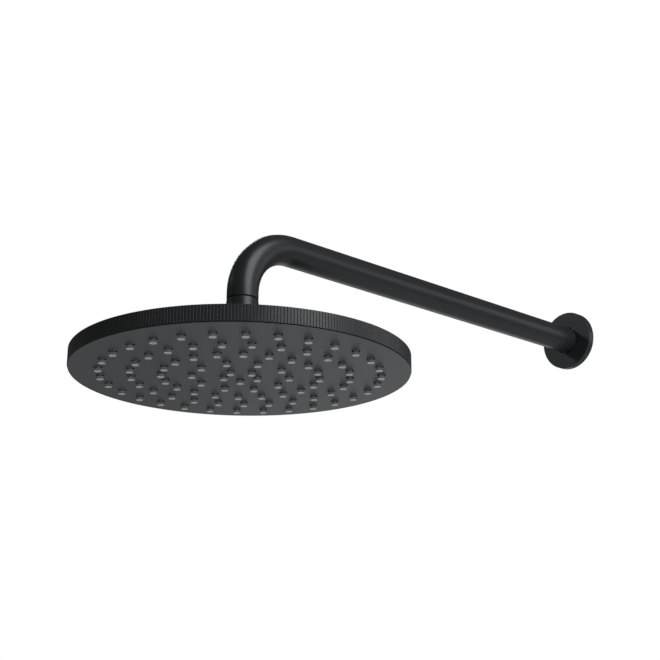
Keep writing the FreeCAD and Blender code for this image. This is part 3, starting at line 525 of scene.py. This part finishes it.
def make_inlet_nipple():
    """The brass nipple with its half-inch thread cut as a real helix."""
    tip_y = high("inlet_nipple").y
    plug = tip_y - low("inlet_nipple").y
    shoulder_high = tip_y - TUBE_START_Y
    inch, threads_per_inch = 25.4, 14
    pitch = inch / threads_per_inch * MM
    major = 10.46 * MM
    groove_depth = 0.9 * MM
    bore = 7.5 * MM
    thread_start = 0.3 * MM
    thread_end = tip_y - 0.5 * MM
    thread_steps = 200
    lead_length, lead_depth = 1.6 * MM, 1.0 * MM
    runout_start, runout_length = tip_y - 1.0 * MM, 1.5 * MM
    flank_slope, root_share = 1.25, 0.1
    step_height = (thread_end - thread_start) / thread_steps
    thread_rows = [(major, thread_start + step_height * step) for step in range(thread_steps + 1)]
    body_corners = [
        (TUBE_RADIUS, tip_y),
        (TUBE_RADIUS, shoulder_high),
        (TUBE_INNER, shoulder_high),
        (TUBE_INNER, plug),
        (bore, plug),
        (bore, 0.0),
        (major - 1.2 * MM, 0.0),
    ]

    def cut(angle, radius, height):
        """Moves a thread row's point in by the groove's depth there, fading at both ends."""
        if radius == major:
            phase = (height / pitch + angle / (2 * math.pi)) % 1.0
            groove = min(1.0, max(0.0, flank_slope * (1 - abs(2 * phase - 1)) - root_share))
            lead = min(1.0, height / lead_length)
            runout = min(1.0, max(0.0, (runout_start - height) / runout_length))
            radius = major - (1 - lead) * lead_depth - groove_depth * groove * lead * runout
        return radius * math.cos(angle), radius * math.sin(angle), height

    build = lathe(thread_rows + rounded(body_corners, 0.15 * MM), segments=144, shape=cut)
    place = Matrix.Translation((0, tip_y, 0)) @ OUT_OF_WALL
    return build.piece("inlet_nipple_threaded", [BRASS_Y], "arm", "inlet_nipple", place)


# ---------------------------------------------------------------- collar nut and ball joint


def make_collar_nut():
    """The collar: as wide as the tube at the seam, wider at its foot, with a lip that holds the stud."""
    tall = high("collar_nut").z - low("collar_nut").z
    foot = high("collar_nut").x
    thread = 10.53 * MM
    neck_hole = 5.4 * MM
    lip = 3.8 * MM
    band_top = 3.0 * MM
    swell_radius, swell_height = TUBE_RADIUS + 0.5 * MM, tall - 6.5 * MM
    foot_edge, band_edge, swell_edge, top_edge = 0.7 * MM, 2.0 * MM, 4.0 * MM, 0.3 * MM
    corners = [
        (neck_hole, 0),
        (foot, 0, foot_edge),
        (foot, band_top, band_edge),
        (swell_radius, swell_height, swell_edge),
        (TUBE_RADIUS, tall, top_edge),
        (thread, tall),
        (thread, lip),
        (neck_hole, lip),
    ]
    build = lathe(rounded(corners, 0.2 * MM, steps=8))
    return build.piece("collar_nut_body", [ARM_COAT], "arm", "collar_nut", on_head_axis(low("collar_nut").z))


def make_ball_stud():
    """The ball on its neck, with the flange that the nut holds and a waterway right through."""
    flange_radius = 10.2 * MM
    flange_low = 19.8 * MM
    flange_high = high("ball_stud").z - BALL.z
    flat_height = -9 * MM
    flat_turn = math.degrees(math.asin(flat_height / BALL_RADIUS))
    neck_turn = math.degrees(math.acos(NECK_RADIUS / BALL_RADIUS))
    fillet_turn = 4
    fillet_height = BALL_RADIUS * 1.05
    edge = 0.3 * MM
    ball_points = arc((0, 0), BALL_RADIUS, flat_turn, neck_turn - fillet_turn, 40)
    shank = rounded(
        [
            (NECK_RADIUS, fillet_height),
            (NECK_RADIUS, flange_low, 0.4 * MM),
            (flange_radius, flange_low, edge),
            (flange_radius, flange_high, edge),
            (WATERWAY_RADIUS, flange_high, edge),
            (WATERWAY_RADIUS, flat_height, edge),
        ],
        0.0,
    )
    build = lathe(ball_points + shank, segments=160)
    return build.piece("ball_stud_turned", [BRASS_Z], "arm", "ball_stud", on_head_axis(BALL.z))


def make_joint_cap():
    """The cap over the ball seat: a tapered ring with a round recess."""
    foot = low("joint_cap").z - BALL.z
    top = high("joint_cap").z - BALL.z
    wide = high("joint_cap").x
    taper_start = 2.5 * MM
    top_radius = 12.4 * MM
    mouth_foot = 7.9 * MM
    recess_foot, thread_top = 1.0 * MM, 0.9 * MM
    foot_edge, taper_edge, top_edge, mouth_edge = 0.6 * MM, 3.0 * MM, 0.8 * MM, 0.3 * MM
    lower = math.degrees(math.asin(recess_foot / CAP_RECESS_RADIUS))
    upper = math.degrees(math.acos(CAP_MOUTH_RADIUS / CAP_RECESS_RADIUS))
    outside = rounded(
        [
            (JOINT_THREAD_RADIUS, foot),
            (wide, foot, foot_edge),
            (wide, taper_start, taper_edge),
            (top_radius, top, top_edge),
            (CAP_MOUTH_RADIUS, top, mouth_edge),
            (CAP_MOUTH_RADIUS, mouth_foot, 0.0),
        ],
        0.2 * MM,
        steps=8,
    )
    inside = arc((0, 0), CAP_RECESS_RADIUS, upper, lower, 16)
    build = lathe(outside + inside + [(JOINT_THREAD_RADIUS, thread_top)])
    return build.piece("joint_cap_ring", [ARM_COAT], "head", "joint_cap", on_head_axis(BALL.z))


def make_joint_socket():
    """The socket below the ball, with two spanner flats, its seal groove, and its spigot."""
    foot = low("joint_socket").z - BALL.z
    rim = high("joint_socket").z - BALL.z
    seat = SHELL_TOP_Z + 0.8 * MM - BALL.z
    wide = high("joint_socket").x
    half_flat = 13.0 * MM
    flat_low = seat + 1.0 * MM
    flat_high = flat_low + 3.6 * MM
    beside = 0.01 * MM
    step_z = -6.3 * MM
    cup, cup_foot = 10.35 * MM, -5.0 * MM
    groove, groove_foot = 9.3 * MM, -9.3 * MM
    well, well_foot = 6.6 * MM, -10.6 * MM
    corners = [
        (SPIGOT_BORE, foot),
        (SPIGOT_RADIUS, foot, 0.4 * MM),
        (SPIGOT_RADIUS, seat),
        (wide, seat, 0.4 * MM),
        (wide, flat_low - beside, 0.0),
        (wide, flat_low + beside, 0.0),
        (wide, flat_high - beside, 0.0),
        (wide, flat_high + beside, 0.0),
        (wide, step_z, 0.3 * MM),
        (JOINT_THREAD_RADIUS, step_z),
        (JOINT_THREAD_RADIUS, rim, 0.3 * MM),
        (cup, rim, 0.2 * MM),
        (cup, cup_foot),
        (groove, cup_foot),
        (groove, groove_foot),
        (well, groove_foot),
        (well, well_foot),
        (SPIGOT_BORE, well_foot),
    ]

    def flatten(angle, radius, height):
        """Cuts the two spanner flats into the outside, between their two heights."""
        across, along = radius * math.cos(angle), radius * math.sin(angle)
        if flat_low < height < flat_high and radius > half_flat:
            along = max(-half_flat, min(half_flat, along))
        return across, along, height

    build = lathe(rounded(corners, 0.15 * MM), segments=288, shape=flatten)
    return build.piece("joint_socket_body", [ARM_COAT], "head", "joint_socket", on_head_axis(BALL.z))


# ---------------------------------------------------------------- head


def make_back_shell():
    """The top cover inside the rim: a flat plate with a skirt and a flat recess round each screw hole."""
    build = Builder()
    edge_segments, bore_segments, hole_segments = 512, 96, 40
    soft = 0.3 * MM
    under_edge = 0.1 * MM
    skirt_edge = 0.15 * MM
    bore = SPIGOT_RADIUS + 0.2 * MM
    sink_floor = SHELL_TOP_Z - 0.7 * MM
    sink_edge = 0.15 * MM
    screw_hole, sink_radius = 1.7 * MM, 2.9 * MM
    outline = [
        (SKIRT_INNER, SHELL_LOW_Z),
        (SKIRT_INNER, SKIRT_LOW_Z + skirt_edge),
        (SKIRT_INNER + skirt_edge, SKIRT_LOW_Z),
        (SKIRT_OUTER - skirt_edge, SKIRT_LOW_Z),
        (SKIRT_OUTER, SKIRT_LOW_Z + skirt_edge),
        (SKIRT_OUTER, SHELL_LOW_Z),
        (SHELL_RADIUS - under_edge, SHELL_LOW_Z),
        (SHELL_RADIUS, SHELL_LOW_Z + under_edge),
    ]
    outline += arc((SHELL_RADIUS - soft, SHELL_TOP_Z - soft), soft, 0, 90, 5)
    rings = [build.round_ring((0, 0), radius, height, edge_segments) for radius, height in outline]
    for one, other in zip(rings, rings[1:]):
        build.bridge(one, other)
    bore_low = build.round_ring((0, 0), bore, SHELL_LOW_Z, bore_segments)
    bore_high = build.round_ring((0, 0), bore, SHELL_TOP_Z, bore_segments)
    build.bridge(bore_high, bore_low)
    under, over = [bore_low], [bore_high]
    hole_outline = [
        (screw_hole, SHELL_LOW_Z),
        (screw_hole, sink_floor),
        (sink_radius, sink_floor),
        (sink_radius, SHELL_TOP_Z - sink_edge),
        (sink_radius + sink_edge, SHELL_TOP_Z),
    ]
    for step in range(SCREW_COUNT):
        angle = 2 * math.pi * step / SCREW_COUNT
        centre = (SCREW_CIRCLE * math.cos(angle), SCREW_CIRCLE * math.sin(angle))
        hole = [build.round_ring(centre, radius, height, hole_segments) for radius, height in hole_outline]
        for one, other in zip(hole, hole[1:]):
            build.bridge(other, one)
        under.append(hole[0])
        over.append(hole[-1])
    build.sheet(rings[0], under, up=False)
    build.sheet(rings[-1], over, up=True)
    return build.piece("back_shell_cover", [ARM_COAT], "head", "back_shell", on_head_axis(0))


def make_ribbed_rim():
    """The rim with its fine flat-topped ribs, which end in a small rounding at both edges."""
    bottom = low("ribbed_ring").z
    top = high("ribbed_ring").z
    fade = 0.2 * MM
    fade_steps = 3
    hold = 0.15 * MM
    below_groove = 0.1 * MM
    rise = [fade * step / fade_steps for step in range(fade_steps + 1)]
    heights = [bottom + up for up in rise] + [bottom + fade + hold]
    heights += [top - fade - hold] + [top - fade + up for up in rise]

    def edge_radius(height):
        """How far the rounded edge lets the ribs stand at a height."""
        into = max(0.0, 1 - (height - bottom) / fade, 1 - (top - height) / fade)
        return HEAD_RADIUS - (RIB_DEPTH + below_groove) * into * into

    def shape(angle, radius, height):
        """Cuts a narrow groove between each two ribs and keeps inside the rounded edges."""
        if radius == HEAD_RADIUS:
            aside = 2 * abs((RIB_COUNT * angle / (2 * math.pi) + 0.5) % 1.0 - 0.5)
            groove = max(0.0, (aside - RIB_TOP_SHARE) / (1 - RIB_TOP_SHARE))
            radius = min(HEAD_RADIUS - RIB_DEPTH * groove, edge_radius(height))
        return radius * math.cos(angle), radius * math.sin(angle), height

    outline = [(HEAD_RADIUS, height) for height in heights] + [(PAN_OUTER, top), (PAN_OUTER, bottom)]
    build = lathe(outline, segments=RIB_COUNT * RIB_STEPS, shape=shape)
    return build.piece("ribbed_rim", [RIM_COAT], "head", "ribbed_ring", on_head_axis(0))


def make_face_plate():
    """The flat face with its thin lip, a softly broken hole round each nozzle, and the pan wall."""
    soft = 0.15 * MM
    lip_edge = 0.05 * MM
    hole_edge = 0.3 * MM
    edge = arc((TRIM_RADIUS - soft, FACE_Z + soft), soft, -90, 0, 5)
    edge += [
        (TRIM_RADIUS, LIP_TOP_Z - lip_edge),
        (TRIM_RADIUS - lip_edge, LIP_TOP_Z),
        (PAN_OUTER, LIP_TOP_Z),
        (PAN_OUTER, PAN_TOP_Z),
        (PAN_INNER, PAN_TOP_Z),
        (PAN_INNER, PLATE_TOP_Z),
    ]
    hole_outline = arc((PLATE_HOLE_RADIUS + hole_edge, FACE_Z + hole_edge), hole_edge, 270, 180, 4)
    hole_outline.append((PLATE_HOLE_RADIUS, PLATE_TOP_Z))
    build = perforated(edge, list(nozzle_centres()), hole_outline, hole_segments=36)
    # Its lighter grey coat is painted light on the same black coat as the arm.
    return build.piece("face_plate_pan", [FACE_COAT_PAINTED_LIGHT], "head", "face_plate", on_head_axis(0))


def make_nozzles():
    """The soft mat with every nozzle moulded on it: neck, bead, tip and tapered waterway. The tip's paler
    silicone is painted light: the same grey as the body, made lighter where light falls on the ends.
    """
    bead_top = FACE_Z - 0.9 * MM
    bead_edge = 0.2 * MM
    tip_edge, tip_steps = 0.3 * MM, 4
    waist_z, waist_spread, waist_depth = TIP_Z + 1.15 * MM, 0.3 * MM, 0.1 * MM
    hole_edge = 0.1 * MM
    hole_top, bore_foot = TIP_Z + 1.2 * MM, TIP_Z + 2.2 * MM
    outside = [(NOZZLE_NECK_RADIUS, PLATE_TOP_Z), (NOZZLE_NECK_RADIUS, bead_top)]
    outside += arc((NOZZLE_RADIUS - bead_edge, bead_top - bead_edge), bead_edge, 90, 0, 3)
    outside += [
        (NOZZLE_RADIUS, waist_z + waist_spread),
        (NOZZLE_RADIUS - waist_depth, waist_z),
        (NOZZLE_RADIUS, waist_z - waist_spread),
    ]
    outside += arc((NOZZLE_RADIUS - tip_edge, TIP_Z + tip_edge), tip_edge, 0, -90, tip_steps)
    inside = [
        (NOZZLE_HOLE_RADIUS + hole_edge, TIP_Z),
        (NOZZLE_HOLE_RADIUS, TIP_Z + hole_edge),
        (NOZZLE_HOLE_RADIUS, hole_top),
        (NOZZLE_BORE_RADIUS, bore_foot),
        (NOZZLE_BORE_RADIUS, MAT_TOP_Z),
    ]
    mat_radius = high("nozzle_mat").x
    tip_start = len(outside) - tip_steps
    # The paler tip bands are painted light on the nozzles' silicone.
    painted_light_bands = range(tip_start, tip_start + tip_steps + 1)
    build = perforated(
        [(mat_radius, PLATE_TOP_Z), (mat_radius, MAT_TOP_Z)],
        list(nozzle_centres()),
        outside + inside,
        hole_segments=40,
        slot_of=lambda band: 1 if band in painted_light_bands else 0,
    )
    return build.piece("nozzle_mat_soft", [NOZZLE_BODY, NOZZLE_TIP_PAINTED_LIGHT], "head", "nozzle_mat", on_head_axis(0))


# ---------------------------------------------------------------- camera, floor and light

CAMERA_PLACE = (0.6830, -0.9229, -0.3498)
CAMERA_TOWARD = (48.201, -17.831)  # azimuth and elevation of the camera's back
CAMERA_LENS = 66.27
CAMERA_SENSOR = 36
FLOOR_HALF_SIZE = 60
FLOOR_Z = -1.15
FLOOR_GREY = 0.8
FLOOR_GLOW = 0.085  # how much the floor lights the object
FLOOR_SEEN = 0.5  # how bright the floor's own glow looks to the camera
SURROUND_LIGHT = 0.075
LIGHT_COLOUR = (0.94, 0.98, 1.0)
STUDIO_MIDDLE = (0, -0.3, -0.05)
WALL_POINT = (0, 0, 0)
# name, azimuth, elevation, distance, width, height, watts, target, spread
SOFTBOXES = (
    ("key", 87, 38, 2.2, 1.5, 1.8, 31, STUDIO_MIDDLE, 180),
    ("side", 104, 13, 2.2, 1.3, 1.0, 5, STUDIO_MIDDLE, 180),
    ("wide_side", 146, 10, 2.4, 1.8, 0.9, 3.8, STUDIO_MIDDLE, 180),
    ("back", 250, 36, 2.2, 0.5, 0.9, 9, STUDIO_MIDDLE, 180),
    ("low_back", 223, -12, 2.2, 1.0, 0.8, 0.62, STUDIO_MIDDLE, 110),
    ("low_front", 84, -12, 2.2, 1.1, 0.8, 1.5, STUDIO_MIDDLE, 110),
    ("flange_spot", 314, 30, 2.0, 0.45, 0.45, 0.065, WALL_POINT, 10),
)


def direction(azimuth, elevation):
    """The way from the object to something at this azimuth and elevation; azimuth 0 is on the -Y side."""
    a, e = math.radians(azimuth), math.radians(elevation)
    return Vector((math.sin(a) * math.cos(e), -math.cos(a) * math.cos(e), math.sin(e)))


def make_camera():
    camera = bpy.data.objects.new("camera", bpy.data.cameras.new("camera"))
    camera.data.sensor_width = CAMERA_SENSOR
    camera.data.lens = CAMERA_LENS
    camera.location = CAMERA_PLACE
    camera.rotation_euler = direction(*CAMERA_TOWARD).to_track_quat("Z", "Y").to_euler()
    bpy.context.scene.collection.objects.link(camera)
    bpy.context.scene.camera = camera


def make_floor():
    """A plain pale floor far below, as under a real shower. It glows a little, as a lit studio floor does."""
    half = FLOOR_HALF_SIZE
    corners = [(x, y, FLOOR_Z) for x, y in ((-half, -half), (half, -half), (half, half), (-half, half))]
    mesh = bpy.data.meshes.new("floor")
    mesh.from_pydata(corners, [], [(0, 1, 2, 3)])
    floor = bpy.data.objects.new("floor", mesh)
    bpy.context.scene.collection.objects.link(floor)
    grey = (FLOOR_GREY,) * 3
    material = new_finish("pale_floor", grey, 0.8, specular=0.2)
    speckle = noise(material, object_space(material), scale=6.0)
    vary_colour(material, speckle, "Fac", tint(grey, 0.975), tint(grey, 1.025))
    principled(material).inputs["Emission Color"].default_value = (1, 1, 1, 1)
    ray = add_node(material, "ShaderNodeLightPath")
    glow = add_node(material, "ShaderNodeMapRange", To_Min=FLOOR_GLOW, To_Max=FLOOR_SEEN)
    link(material, ray, "Is Camera Ray", glow, "Value")
    link(material, glow, "Result", principled(material), "Emission Strength")
    mesh.materials.append(material)


def add_softbox(name, azimuth, elevation, distance, width, height, watts, target, spread):
    """A soft area light that faces the target. A spread under 180 narrows its beam, as a grid does."""
    light = bpy.data.lights.new(name, "AREA")
    light.shape = "RECTANGLE"
    light.size = width
    light.size_y = height
    light.energy = watts
    light.color = LIGHT_COLOUR
    light.spread = math.radians(spread)
    thing = bpy.data.objects.new(name, light)
    toward = direction(azimuth, elevation)
    thing.location = Vector(target) + toward * distance
    thing.rotation_euler = toward.to_track_quat("Z", "Y").to_euler()
    bpy.context.scene.collection.objects.link(thing)


def make_world():
    """A white surround for the camera, and a dim one for everything that the surround lights."""
    world = bpy.data.worlds.new("studio")
    bpy.context.scene.world = world
    world.use_nodes = True
    nodes, links = world.node_tree.nodes, world.node_tree.links
    nodes.clear()
    ray = nodes.new("ShaderNodeLightPath")
    pick = nodes.new("ShaderNodeMixShader")
    out = nodes.new("ShaderNodeOutputWorld")
    links.new(ray.outputs["Is Camera Ray"], pick.inputs[0])
    for socket, strength in ((1, SURROUND_LIGHT), (2, 1.0)):
        background = nodes.new("ShaderNodeBackground")
        background.inputs["Color"].default_value = (1, 1, 1, 1)
        background.inputs["Strength"].default_value = strength
        links.new(background.outputs[0], pick.inputs[socket])
    links.new(pick.outputs[0], out.inputs["Surface"])


def make_studio():
    make_camera()
    make_floor()
    make_world()
    for softbox in SOFTBOXES:
        add_softbox(*softbox)
    bpy.context.scene.view_settings.view_transform = "Standard"


finish_cad_nodes()
make_arm_tube()
make_wall_flange()
make_inlet_nipple()
make_collar_nut()
make_ball_stud()
make_joint_cap()
make_joint_socket()
make_back_shell()
make_ribbed_rim()
make_face_plate()
make_nozzles()
make_studio()
